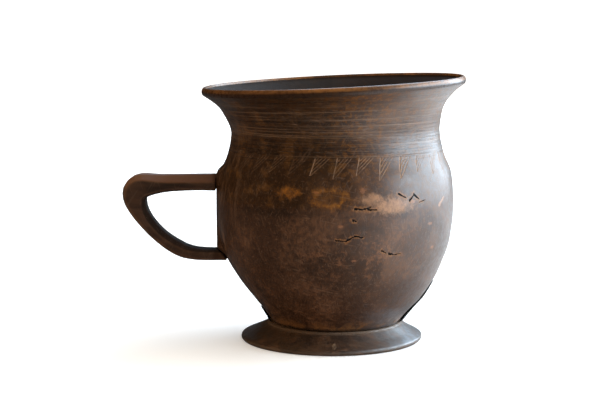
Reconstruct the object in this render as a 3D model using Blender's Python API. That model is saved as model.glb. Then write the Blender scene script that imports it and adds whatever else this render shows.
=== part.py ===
"""A footed wooden drinking mug, put together from turned and carved pieces.

The bowl is turned with a round spigot under its floor.  The spigot goes down through the
foot and three pegs lock the two together.  The handle is carved separately: each of its
arms ends in a tenon that passes through the wall and is spread by a wedge from inside.
Black pitch closes the crevice between bowl and foot.

Metres, +Z up.  The origin is the middle of the underside, on the bowl's axis.
The handle points along -X.
"""

import math

import bmesh
import bpy
from mathutils import Vector

# ---- Driving dimensions -------------------------------------------------------------
GAP = 0.0003            # clearance between pieces that touch
SEGMENTS = 72           # flats round a turned piece
PEG_SEGMENTS = 16
CURVE_STEPS = 4         # steps from one station to the next along the handle and pitch

RIM_HEIGHT = 0.1149     # lower outer corner of the lip
NECK_HEIGHT = 0.0950
BELLY_HEIGHT = 0.0625
LIP_RADIUS = 0.0596
NECK_RADIUS = 0.0477
BELLY_RADIUS = 0.0543
JOINT_RADIUS = 0.0293   # lower end of the belly, where it sits on the foot
RIM_TILT = 0.047        # rise of the lip per metre towards +X: the rim has warped

LIP_THICKNESS = 0.0028
NECK_WALL = 0.0048
BELLY_WALL = 0.0064
BASE_WALL = 0.0070      # wall at the lower end of the belly
FLOOR_THICKNESS = 0.0065
FLOOR_FILLET = 0.0020   # where the wall runs into the floor

FOOT_HEIGHT = 0.0084    # from the table to the underside of the bowl
FOOT_RADIUS = 0.0416
LEDGE = 0.0020          # how far the foot's top edge stands out past the joint
FOOT_SHIFT = -0.0016    # the foot's flare is turned off centre
FOOT_EDGE = 0.0016      # height of the foot's rim
FOOT_ROUNDING = 0.0007
FOOT_HOLLOW = (0.45, 0.52)  # the slope's middle, sunk a little: shares out and down
SPIGOT_RADIUS = 0.0200

PEG_RADIUS = 0.0009
PEG_HEIGHT = 0.0036
PEG_DEPTH = 0.0080      # how far a peg goes into the spigot
PEG_ANGLES = {"front": -91.5, "right": 28.5, "left": 148.5}

SEAT_DEPTH = 0.0002     # the flat strip that the handle stands against, cut into the belly
SEAT_HALF_WIDTH = 0.0058
SEAT_BLEND = 0.0045     # how far the strip takes to run out into the round
SEAT_ABOVE = 0.0040     # top of the strip over the upper arm's centre
SEAT_BELOW = -0.0045    # bottom of the strip under the lower arm's centre

HANDLE_HALF_WIDTH = 0.0062
UPPER_ARM_ABOVE_BELLY = 0.0099
ARM_SPACING = 0.03335
TENON_HALF_WIDTH = 0.0034
UPPER_TENON_HEIGHT = 0.0052
LOWER_TENON_HEIGHT = 0.0034
TENON_ROOT = 0.0030     # how far a tenon's shape runs back into its arm
TRIM = 0.0030           # what is left long on tenons, wedges and pegs, then cut flush

WEDGE_LENGTH = 0.0045
WEDGE_HEAD = 0.0011
WEDGE_TIP = 0.0003
KERF_OVERRUN = 0.0010   # the kerf is sawn right across the tenon

PITCH_GAP = 1.6 * GAP   # the belly slopes, so the bead stands off it a little more
PITCH_RISE = (0.0, 0.12, 0.35, 0.65, 1.0)
PITCH_TAPER = 0.75      # share of the bead's thickness lost by its upper edge

# ---- Derived sizes --------------------------------------------------------------------
UPPER_ARM_HEIGHT = BELLY_HEIGHT + UPPER_ARM_ABOVE_BELLY
LOWER_ARM_HEIGHT = UPPER_ARM_HEIGHT - ARM_SPACING
SEAT_RADIUS = BELLY_RADIUS - SEAT_DEPTH
COLLAR_RADIUS = JOINT_RADIUS + LEDGE
FLOOR_HEIGHT = FOOT_HEIGHT + FLOOR_THICKNESS
FOOT_TOP = FOOT_HEIGHT - GAP

# The belly, shoulder and throat as shares of the way from one driving size to the next:
# (share of the radius step, share of the height step).
BELLY_SHAPE = ((0.065, 0.042), (0.19, 0.115), (0.38, 0.215), (0.66, 0.40), (0.885, 0.62),
               (0.975, 0.82))
SHOULDER_SHAPE = ((0.09, 0.27), (0.31, 0.50), (0.74, 0.72))
THROAT_SHAPE = ((0.10, 0.33), (0.30, 0.62), (0.62, 0.83))

# The lip's rounded edge, as steps out and up from its lower outer corner.
LIP_EDGE = ((0.0004, 0.0014), (0.0002, 0.0028), (-0.0005, 0.0036), (-0.0013, 0.0036))

# How far the turned shape has moved off its axis towards +X: (height, shift).
LEAN = ((FOOT_HEIGHT, 0.0003), (FOOT_HEIGHT + 0.011, 0.0012), (BELLY_HEIGHT * 0.5, 0.0006),
        (BELLY_HEIGHT * 0.6, 0.0), (BELLY_HEIGHT, 0.0),
        ((BELLY_HEIGHT + NECK_HEIGHT) / 2, 0.0006), (NECK_HEIGHT, 0.0002),
        ((NECK_HEIGHT + RIM_HEIGHT) / 2, -0.0011), (RIM_HEIGHT, -0.0008))

# The handle's centre line and section, from the upper arm's root to the lower arm's:
# out from the seat, down from the upper arm, thickness, then the flat's half width and
# the facet's drop on the outside, and the same on the inside.
HANDLE_STATIONS = (
    (-0.0060, 0.0000, 0.0080, 0.0018, 0.0034, 0.0050, 0.0004),
    (0.0100, 0.0000, 0.0074, 0.0018, 0.0034, 0.0048, 0.0006),
    (0.0250, 0.0006, 0.0084, 0.0022, 0.0033, 0.0046, 0.0008),
    (0.0352, 0.0023, 0.0118, 0.0034, 0.0022, 0.0044, 0.0012),
    (0.0374, 0.0070, 0.0108, 0.0048, 0.0010, 0.0042, 0.0016),
    (0.0343, 0.0150, 0.0074, 0.0052, 0.0008, 0.0037, 0.0023),
    (0.0271, 0.0237, 0.0062, 0.0052, 0.0008, 0.0036, 0.0023),
    (0.0180, 0.0303, 0.0064, 0.0052, 0.0008, 0.0038, 0.0021),
    (0.0090, 0.0330, 0.0053, 0.0052, 0.0006, 0.0042, 0.0014),
    (-0.0080, 0.03335, 0.0048, 0.0052, 0.0006, 0.0048, 0.0008),
)

# The pitch round the back of the crevice: angle, height of its upper edge above the
# foot, and how far it stands out from the belly.
PITCH_STATIONS = (
    (-13.0, 0.0040, 0.0006),
    (-8.0, 0.0160, 0.0013),
    (0.0, 0.0182, 0.0017),
    (18.0, 0.0075, 0.0020),
    (50.0, 0.0040, 0.0018),
    (90.0, 0.0050, 0.0015),
    (150.0, 0.0048, 0.0013),
    (182.0, 0.0066, 0.0010),
    (192.0, 0.0025, 0.0004),
)


# ---- Curves ---------------------------------------------------------------------------
def blend(share):
    """Rises smoothly from 0 to 1 as share goes from 0 to 1."""
    share = min(max(share, 0.0), 1.0)
    return share * share * (3.0 - 2.0 * share)


def smooth_curve(points, steps):
    """Points along a smooth curve through the given points, which may have any length."""
    ends = [points[0], *points, points[-1]]
    curve = []
    for before, start, end, after in zip(ends, ends[1:], ends[2:], ends[3:]):
        for step in range(steps):
            t = step / steps
            curve.append(tuple(
                0.5 * (2 * b + (c - a) * t + (2 * a - 5 * b + 4 * c - d) * t * t
                       + (3 * b - a - 3 * c + d) * t ** 3)
                for a, b, c, d in zip(before, start, end, after)
            ))
    curve.append(tuple(points[-1]))
    return curve


def between(start, end, shares):
    """Points between two (radius, height) pairs, at shares of each step."""
    return [(start[0] + (end[0] - start[0]) * r, start[1] + (end[1] - start[1]) * z)
            for r, z in shares]


def value_at(height, table):
    """Straight-line interpolation in a table of (height, value) rows."""
    for (low, first), (high, second) in zip(table, table[1:]):
        if height <= high:
            share = max(0.0, (height - low) / (high - low))
            return first + (second - first) * share
    return table[-1][1]


def outer_curve():
    """The bowl's outside as (radius, height), from the foot up to the lip's corner."""
    joint = (JOINT_RADIUS, FOOT_HEIGHT)
    belly = (BELLY_RADIUS, BELLY_HEIGHT)
    neck = (NECK_RADIUS, NECK_HEIGHT)
    lip = (LIP_RADIUS, RIM_HEIGHT)
    points = [joint, *between(joint, belly, BELLY_SHAPE),
              belly, *between(belly, neck, SHOULDER_SHAPE),
              neck, *between(neck, lip, THROAT_SHAPE), lip]
    return smooth_curve(points, 2)


OUTER = outer_curve()
WALLS = ((FOOT_HEIGHT, BASE_WALL), (BELLY_HEIGHT, BELLY_WALL),
         (NECK_HEIGHT, NECK_WALL), (RIM_HEIGHT, LIP_THICKNESS))


def offset_curve(curve, distance_at):
    """The curve moved square to itself, towards the axis, by distance_at(height)."""
    moved = []
    for index, (radius, height) in enumerate(curve):
        before = curve[max(index - 1, 0)]
        after = curve[min(index + 1, len(curve) - 1)]
        along = Vector((after[0] - before[0], after[1] - before[1])).normalized()
        distance = distance_at(height)
        moved.append((radius - along.y * distance, height + along.x * distance))
    return moved


INNER = [(r, z) for r, z in offset_curve(OUTER, lambda z: value_at(z, WALLS))
         if z > FLOOR_HEIGHT + FLOOR_FILLET / 2]


def outer_radius(height):
    """Radius of the bowl's outside at a height."""
    return value_at(height, [(z, r) for r, z in OUTER])


def inner_radius(height):
    """Radius of the bowl's inside at a height."""
    return value_at(height, [(z, r) for r, z in INNER])


# ---- Mesh building ----------------------------------------------------------------------
def add_object(name, mesh_data, material=None, cutter=False):
    """Links a bmesh to the scene as a named object, and frees it."""
    bmesh.ops.recalc_face_normals(mesh_data, faces=mesh_data.faces)
    mesh = bpy.data.meshes.new(name)
    mesh_data.to_mesh(mesh)
    mesh_data.free()
    thing = bpy.data.objects.new(name, mesh)
    bpy.context.scene.collection.objects.link(thing)
    if material:
        mesh.materials.append(material)
    if cutter:
        thing.hide_render = True
        thing.display_type = "WIRE"
    return thing


def lathe(section_at, closed=False):
    """A turned solid: section_at(angle) gives its section as points, in order.
    An open section starts and ends on the axis; a closed one is a ring's section."""
    made = bmesh.new()
    rings = []
    poles = {}
    for step in range(SEGMENTS):
        section = section_at(2 * math.pi * step / SEGMENTS)
        ring = []
        for index, point in enumerate(section):
            on_axis = not closed and index in (0, len(section) - 1)
            if on_axis and index in poles:
                ring.append(poles[index])
                continue
            vertex = made.verts.new(point)
            if on_axis:
                poles[index] = vertex
            ring.append(vertex)
        rings.append(ring)
    count = len(rings[0])
    spans = count if closed else count - 1
    for ring, following in zip(rings, rings[1:] + rings[:1]):
        for index in range(spans):
            after = (index + 1) % count
            corners = [ring[index], ring[after], following[after], following[index]]
            made.faces.new(list(dict.fromkeys(corners)))
    bmesh.ops.triangulate(made, faces=made.faces)
    return made


def box(center, half_sizes):
    """A box as a bmesh."""
    made = bmesh.new()
    bmesh.ops.create_cube(made, size=2.0)
    bmesh.ops.scale(made, vec=half_sizes, verts=made.verts)
    bmesh.ops.translate(made, vec=center, verts=made.verts)
    return made


def boolean(thing, other, operation="DIFFERENCE"):
    """Adds a Boolean with the exact solver."""
    modifier = thing.modifiers.new(operation.title() + "_" + other.name, "BOOLEAN")
    modifier.object = other
    modifier.operation = operation
    modifier.solver = "EXACT"


def shade_round(thing, angle=35.0):
    """Smooth shading, with edges sharper than the angle left crisp."""
    thing.data.shade_smooth()
    thing.data.set_sharp_from_angle(angle=math.radians(angle))


def wood(name, colour, roughness):
    """A plain dark wood."""
    material = bpy.data.materials.new(name)
    material.use_nodes = True
    shader = material.node_tree.nodes["Principled BSDF"]
    shader.inputs["Base Color"].default_value = (*colour, 1.0)
    shader.inputs["Roughness"].default_value = roughness
    shader.inputs["Metallic"].default_value = 0.0
    return material


# ---- Bowl -------------------------------------------------------------------------------
def placed(radius, height, angle, grow=0.0):
    """A point of the bowl, with the rim's warp."""
    x = (radius + grow) * math.cos(angle) + value_at(height, LEAN)
    y = (radius + grow) * math.sin(angle)
    share = blend((height - NECK_HEIGHT) / (RIM_HEIGHT - NECK_HEIGHT))
    return Vector((x, y, height + RIM_TILT * x * share))


def seated(point, grow=0.0):
    """The point moved onto the flat strip that the handle stands against."""
    top = UPPER_ARM_HEIGHT + SEAT_ABOVE
    bottom = LOWER_ARM_HEIGHT - SEAT_BELOW
    across = 1.0 - blend((abs(point.y) - SEAT_HALF_WIDTH) / SEAT_BLEND)
    along = blend((point.z - bottom + SEAT_BLEND) / SEAT_BLEND)
    along *= 1.0 - blend((point.z - top) / SEAT_BLEND)
    plane = -SEAT_RADIUS - grow
    if point.x < 0.0:
        point.x += (plane - point.x) * across * along
    return point


def outside_points(angle, grow=0.0):
    """The bowl's outside at one angle, from the joint to the lip's corner."""
    return [seated(placed(r, z, angle, grow), grow) for r, z in OUTER]


def inside_points(angle):
    """The bowl's inside at one angle, from the lip down to the middle of the floor."""
    points = [placed(r, z, angle) for r, z in reversed(INNER)]
    floor_radius = INNER[0][0] - FLOOR_FILLET
    points.append(placed(floor_radius, FLOOR_HEIGHT, angle))
    points.append(placed(0.0, FLOOR_HEIGHT, angle))
    return points


def lip_points(angle):
    """The rounded edge between the lip's outer corner and its inside."""
    radius, height = OUTER[-1]
    return [placed(radius + out, height + up, angle) for out, up in LIP_EDGE]


def bowl_section(angle):
    spigot_edge = Vector((SPIGOT_RADIUS * math.cos(angle), SPIGOT_RADIUS * math.sin(angle), 0))
    spigot = [Vector(), spigot_edge, spigot_edge + Vector((0, 0, FOOT_HEIGHT))]
    return [*spigot, *outside_points(angle), *lip_points(angle), *inside_points(angle)]


def envelope_section(angle):
    """The bowl's outside as a solid, grown by the clearance."""
    return [placed(0.0, FOOT_HEIGHT, angle), *outside_points(angle, GAP),
            placed(0.0, RIM_HEIGHT, angle)]


def cavity_section(angle):
    """The space inside the bowl as a solid."""
    return [placed(0.0, INNER[-1][1], angle), *inside_points(angle)]


# ---- Foot ---------------------------------------------------------------------------------
def foot_outline():
    """The foot's outside as (radius, height), from its collar down to the underside."""
    collar = [(COLLAR_RADIUS - FOOT_ROUNDING, FOOT_TOP),
              (COLLAR_RADIUS, FOOT_TOP - FOOT_ROUNDING)]
    rim = [(FOOT_RADIUS - FOOT_ROUNDING, FOOT_EDGE + FOOT_ROUNDING),
           (FOOT_RADIUS, FOOT_EDGE), (FOOT_RADIUS, FOOT_ROUNDING),
           (FOOT_RADIUS - FOOT_ROUNDING, 0.0)]
    slope = between(collar[-1], rim[0], [FOOT_HOLLOW])
    return collar + slope + rim


def foot_placed(radius, height, angle):
    """A point of the foot, with its flare's lean."""
    lean = FOOT_SHIFT * (1.0 - blend(height / FOOT_TOP))
    lean *= blend((radius - SPIGOT_RADIUS) / (COLLAR_RADIUS - SPIGOT_RADIUS))
    return Vector((radius * math.cos(angle) + lean, radius * math.sin(angle), height))


def foot_section(angle):
    hole = SPIGOT_RADIUS + GAP
    points = [(hole, 0.0), (hole, FOOT_TOP), *foot_outline()]
    return [foot_placed(r, z, angle) for r, z in points]


def foot_envelope_section(angle):
    """The foot with no hole, to cut the pegs flush with."""
    points = [(0.0, FOOT_TOP), *foot_outline(), (0.0, 0.0)]
    return [foot_placed(r, z, angle) for r, z in points]


def peg_mesh(angle, radius, inner_end, outer_end):
    """A round peg lying along a radius of the foot."""
    made = bmesh.new()
    bmesh.ops.create_cone(made, cap_ends=True, segments=PEG_SEGMENTS, radius1=radius,
                          radius2=radius, depth=outer_end - inner_end)
    bmesh.ops.rotate(made, verts=made.verts,
                     matrix=Vector((0, 0, 1)).rotation_difference(Vector((1, 0, 0)))
                     .to_matrix())
    bmesh.ops.translate(made, verts=made.verts,
                        vec=((inner_end + outer_end) / 2, 0.0, PEG_HEIGHT))
    turn = Vector((1, 0, 0)).rotation_difference(
        Vector((math.cos(angle), math.sin(angle), 0)))
    bmesh.ops.rotate(made, verts=made.verts, matrix=turn.to_matrix())
    return made


# ---- Handle -------------------------------------------------------------------------------
def handle_mesh():
    """The handle's bent, faceted bar, with both roots running into the bowl's wall."""
    stations = smooth_curve(HANDLE_STATIONS, CURVE_STEPS)
    centres = [Vector((-SEAT_RADIUS - row[0], 0.0, UPPER_ARM_HEIGHT - row[1]))
               for row in stations]
    made = bmesh.new()
    rings = []
    for index, (centre, row) in enumerate(zip(centres, stations)):
        half = row[2] / 2
        outer_flat, outer_drop, inner_flat, inner_drop = row[3:]
        along = centres[min(index + 1, len(centres) - 1)] - centres[max(index - 1, 0)]
        outward = Vector((along.z, 0.0, -along.x)).normalized()
        across = [(half, outer_flat), (half - outer_drop, HANDLE_HALF_WIDTH),
                  (inner_drop - half, HANDLE_HALF_WIDTH), (-half, inner_flat)]
        outline = across + [(out, -side) for out, side in reversed(across)]
        rings.append([made.verts.new(centre + outward * out + Vector((0.0, side, 0.0)))
                      for out, side in outline])
    for ring, following in zip(rings, rings[1:]):
        for index, corner in enumerate(ring):
            after = (index + 1) % len(ring)
            made.faces.new([corner, ring[after], following[after], following[index]])
    made.faces.new(rings[0])
    made.faces.new(list(reversed(rings[-1])))
    return made


def tenon_box(height, thickness, grow=0.0):
    """A tenon's block, from inside its arm to the hollow of the bowl."""
    outer_end = outer_radius(height) + TENON_ROOT
    inner_end = inner_radius(height) - TRIM
    middle = (outer_end + inner_end) / 2
    half_length = (outer_end - inner_end) / 2 + grow
    return box((-middle, 0.0, height),
               (half_length, TENON_HALF_WIDTH + grow, thickness / 2 + grow))


def wedge_mesh(height, grow=0.0):
    """A tapered wedge, driven outwards along the tenon from the hollow."""
    head = inner_radius(height) - TRIM
    tip = inner_radius(height) + WEDGE_LENGTH + grow
    half_width = TENON_HALF_WIDTH + (KERF_OVERRUN if grow else 0.0)
    made = bmesh.new()
    ends = []
    for distance, thickness in ((head, WEDGE_HEAD), (tip, WEDGE_TIP)):
        half = thickness / 2 + grow
        ends.append([made.verts.new((-distance, side, height + rise))
                     for side, rise in ((-half_width, -half), (half_width, -half),
                                        (half_width, half), (-half_width, half))])
    near, far = ends
    made.faces.new(near)
    made.faces.new(list(reversed(far)))
    for index in range(4):
        after = (index + 1) % 4
        made.faces.new([near[index], near[after], far[after], far[index]])
    return made


# ---- Pitch --------------------------------------------------------------------------------
def pitch_mesh():
    """A bead of pitch from the right round the back to the left."""
    base = FOOT_TOP + GAP
    made = bmesh.new()
    rings = []
    for degrees, rise, stand_out in smooth_curve(PITCH_STATIONS, CURVE_STEPS):
        angle = math.radians(degrees)
        inner, outer = [], []
        for share in PITCH_RISE:
            height = base + rise * share
            radius = outer_radius(height)
            thickness = max(stand_out * (1.0 - PITCH_TAPER * share ** 1.5), GAP)
            inner.append(placed(radius, height, angle, PITCH_GAP))
            outer.append(placed(radius, height, angle, PITCH_GAP + thickness))
        rings.append([made.verts.new(point) for point in inner + outer[::-1]])
    for ring, following in zip(rings, rings[1:]):
        for index, corner in enumerate(ring):
            after = (index + 1) % len(ring)
            made.faces.new([corner, ring[after], following[after], following[index]])
    made.faces.new(rings[0])
    made.faces.new(list(reversed(rings[-1])))
    return made


# ---- Assembly -----------------------------------------------------------------------------
def main():
    for thing in list(bpy.data.objects):
        bpy.data.objects.remove(thing)

    dark_wood = wood("bowl_wood", (0.075, 0.045, 0.028), 0.42)
    foot_wood = wood("foot_wood", (0.062, 0.040, 0.028), 0.36)
    handle_wood = wood("handle_wood", (0.070, 0.038, 0.022), 0.40)
    end_grain = wood("pale_wood", (0.180, 0.105, 0.055), 0.60)
    pitch_black = wood("pitch_black", (0.010, 0.009, 0.008), 0.30)

    bowl = add_object("bowl", lathe(bowl_section), dark_wood)
    foot = add_object("foot", lathe(foot_section, closed=True), foot_wood)
    handle = add_object("handle", handle_mesh(), handle_wood)

    envelope = add_object("cut_envelope", lathe(envelope_section), cutter=True)
    cavity = add_object("cut_cavity", lathe(cavity_section), cutter=True)
    foot_envelope = add_object("cut_foot_envelope", lathe(foot_envelope_section),
                               cutter=True)

    boolean(handle, envelope)
    arms = {"upper": (UPPER_ARM_HEIGHT, UPPER_TENON_HEIGHT),
            "lower": (LOWER_ARM_HEIGHT, LOWER_TENON_HEIGHT)}
    for name, (height, thickness) in arms.items():
        tenon = add_object(f"add_{name}_tenon", tenon_box(height, thickness),
                           cutter=True)
        mortise = add_object(f"cut_{name}_mortise", tenon_box(height, thickness, GAP),
                             cutter=True)
        boolean(handle, tenon, "UNION")
        boolean(bowl, mortise)
    boolean(handle, cavity)
    for name, (height, thickness) in arms.items():
        kerf = add_object(f"cut_{name}_kerf", wedge_mesh(height, GAP), cutter=True)
        boolean(handle, kerf)
        wedge = add_object(f"handle_wedge_{name}", wedge_mesh(height), end_grain)
        boolean(wedge, cavity)

    for name, degrees in PEG_ANGLES.items():
        angle = math.radians(degrees)
        inner_end = SPIGOT_RADIUS - PEG_DEPTH
        outer_end = FOOT_RADIUS + TRIM
        hole = add_object(f"cut_{name}_peg_hole",
                          peg_mesh(angle, PEG_RADIUS + GAP, inner_end - GAP, outer_end),
                          cutter=True)
        boolean(foot, hole)
        boolean(bowl, hole)
        peg = add_object(f"foot_peg_{name}",
                         peg_mesh(angle, PEG_RADIUS, inner_end, outer_end), end_grain)
        boolean(peg, foot_envelope, "INTERSECT")
        shade_round(peg)

    add_object("pitch_seal", pitch_mesh(), pitch_black)
    shade_round(bowl)
    shade_round(foot)
    shade_round(handle, 20.0)


main()
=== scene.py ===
import math

import bmesh
import bpy
import numpy as np
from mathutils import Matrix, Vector


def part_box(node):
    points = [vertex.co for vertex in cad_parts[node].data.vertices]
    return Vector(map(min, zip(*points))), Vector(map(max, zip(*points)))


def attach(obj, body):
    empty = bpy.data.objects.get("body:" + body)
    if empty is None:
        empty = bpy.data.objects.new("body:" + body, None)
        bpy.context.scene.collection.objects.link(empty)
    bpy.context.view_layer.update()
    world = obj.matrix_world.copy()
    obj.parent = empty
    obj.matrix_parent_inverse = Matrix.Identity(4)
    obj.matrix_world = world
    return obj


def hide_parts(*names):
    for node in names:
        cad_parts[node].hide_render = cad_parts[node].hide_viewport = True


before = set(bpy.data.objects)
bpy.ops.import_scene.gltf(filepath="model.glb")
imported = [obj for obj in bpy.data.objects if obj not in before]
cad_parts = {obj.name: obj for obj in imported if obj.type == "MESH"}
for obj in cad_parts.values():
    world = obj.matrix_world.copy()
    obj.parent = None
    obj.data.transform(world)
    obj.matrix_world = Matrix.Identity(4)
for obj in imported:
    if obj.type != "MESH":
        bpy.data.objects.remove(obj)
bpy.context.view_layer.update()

# ---- Bowl ------------------------------------------------------------------------------
# The bowl is turned from one block of close-grained wood that has gone nearly black with
# handling.  A spigot under its floor goes down through the foot, and the two slots in its
# wall take the handle's tenons.  The neck is ringed with lines cut on the lathe.
bowl_low, bowl_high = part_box("bowl")

JOINT = (0.0293, 0.0084)            # radius and height of each turn of the outline
BELLY = (0.0543, 0.0625)
NECK = (0.0477, 0.0950)
LIP = (bowl_high.y - 0.0004, 0.1149)
BELLY_SHAPE = ((0.065, 0.042), (0.19, 0.115), (0.38, 0.215), (0.66, 0.40), (0.885, 0.62),
               (0.975, 0.82))
SHOULDER_SHAPE = ((0.09, 0.27), (0.31, 0.50), (0.74, 0.72))
THROAT_SHAPE = ((0.10, 0.33), (0.30, 0.62), (0.62, 0.83))
LIP_EDGE = ((0.0004, 0.0014), (0.0002, 0.0027), (-0.0005, 0.0035), (-0.0013, 0.0035))
WALLS = ((JOINT[1], 0.0070), (BELLY[1], 0.0064), (NECK[1], 0.0048), (LIP[1], 0.0028))
FLOOR = 0.0149
SPIGOT = 0.0200
LEAN = ((JOINT[1], 0.0003), (0.0194, 0.0012), (BELLY[1] * 0.5, 0.0006),
        (BELLY[1] * 0.6, 0.0), (BELLY[1], 0.0), ((BELLY[1] + NECK[1]) / 2, 0.0006),
        (NECK[1], 0.0002), ((NECK[1] + LIP[1]) / 2, -0.0011), (LIP[1], -0.0008))
RIM_RISE = 0.047
SEAT = BELLY[0] - 0.0002            # the flat the handle stands against
SKIN = 0.00006                      # the worn surface lies this far inside the tool's


def between(start, end, shares):
    """Points part of the way from start to end."""
    return [(start[0] + (end[0] - start[0]) * r, start[1] + (end[1] - start[1]) * z)
            for r, z in shares]


def smooth_line(points, spacing_at):
    """A smooth line through the points, with its steps as long as spacing_at(height)."""
    ends = [points[0], *points, points[-1]]
    line = []
    for before, start, end, after in zip(ends, ends[1:], ends[2:], ends[3:]):
        length = math.hypot(end[0] - start[0], end[1] - start[1])
        steps = max(1, math.ceil(length / spacing_at((start[1] + end[1]) / 2)))
        for step in range(steps):
            t = step / steps
            line.append(tuple(
                0.5 * (2 * b + (c - a) * t + (2 * a - 5 * b + 4 * c - d) * t * t
                       + (3 * b - a - 3 * c + d) * t ** 3)
                for a, b, c, d in zip(before, start, end, after)))
    return line + [tuple(points[-1])]


def moved_in(line, distance_at):
    """The line moved square to itself, towards the axis."""
    moved = []
    for index, (radius, height) in enumerate(line):
        before, after = line[max(index - 1, 0)], line[min(index + 1, len(line) - 1)]
        along = Vector((after[0] - before[0], after[1] - before[1])).normalized()
        distance = distance_at(height)
        moved.append((radius - along.y * distance, height + along.x * distance))
    return moved


def wall_at(height):
    heights, walls = zip(*WALLS)
    return float(np.interp(height, heights, walls))


outside = [JOINT, *between(JOINT, BELLY, BELLY_SHAPE), BELLY,
           *between(BELLY, NECK, SHOULDER_SHAPE), NECK,
           *between(NECK, LIP, THROAT_SHAPE), LIP]
outside_line = smooth_line(outside, lambda height: 0.00022 if height > 0.0855 else 0.0011)
inside_line = [point for point in moved_in(smooth_line(outside, lambda height: 0.0022), wall_at)
               if point[1] > FLOOR + 0.001]
lip_points = [(LIP[0] + out, LIP[1] + up) for out, up in LIP_EDGE]
lip_line = smooth_line([outside_line[-1], *lip_points, inside_line[-1]],
                       lambda height: 0.0005)[1:-1]
floor_edge = inside_line[0][0]
outline = ([(0.0, 0.0), (SPIGOT, 0.0), (SPIGOT, JOINT[1])]
           + moved_in(outside_line, lambda height: SKIN) + lip_line
           + inside_line[::-1]
           + [(floor_edge - 0.0020, FLOOR), (floor_edge - 0.0050, FLOOR), (0.0, FLOOR)])
sides = [0.0] * 3 + [1.0] * len(outside_line) + [0.5] * len(lip_line)
sides += [0.0] * (len(outline) - len(sides))


def outline_mesh(name, points, lean, sides):
    """The outline as a chain of vertices at (radius, lean, height), each marked 1 on the
    outside, 0.5 on the lip or 0 on the inside."""
    mesh = bpy.data.meshes.new(name)
    heights, shifts = zip(*lean)
    mesh.from_pydata([(r, float(np.interp(z, heights, shifts)), z) for r, z in points],
                     [(step, step + 1) for step in range(len(points) - 1)], [])
    mark = mesh.attributes.new("side", "FLOAT", "POINT")
    mark.data.foreach_set("value", sides)
    return mesh


def put(tree, kind, values=None, **settings):
    """Adds a node, with its settings, and fills its inputs with values or links."""
    node = tree.nodes.new(kind)
    for name, value in settings.items():
        setattr(node, name, value)
    for key, value in (values or {}).items():
        if isinstance(value, bpy.types.NodeSocket):
            tree.links.new(value, node.inputs[key])
        else:
            node.inputs[key].default_value = value
    return node


def calc(tree, operation, *values, clamp=False):
    """A Math node's result."""
    node = put(tree, "ShaderNodeMath", dict(enumerate(values)), operation=operation)
    node.use_clamp = clamp
    return node.outputs[0]


def times(tree, *values):
    """The values multiplied together."""
    product = values[0]
    for value in values[1:]:
        product = calc(tree, "MULTIPLY", product, value)
    return product


def ramp(tree, value, low, high, to_low=0.0, to_high=1.0):
    """A value eased from to_low to to_high as it goes from low to high."""
    node = put(tree, "ShaderNodeMapRange",
               {"Value": value, "From Min": low, "From Max": high,
                "To Min": to_low, "To Max": to_high}, interpolation_type="SMOOTHSTEP")
    return node.outputs["Result"]


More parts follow.
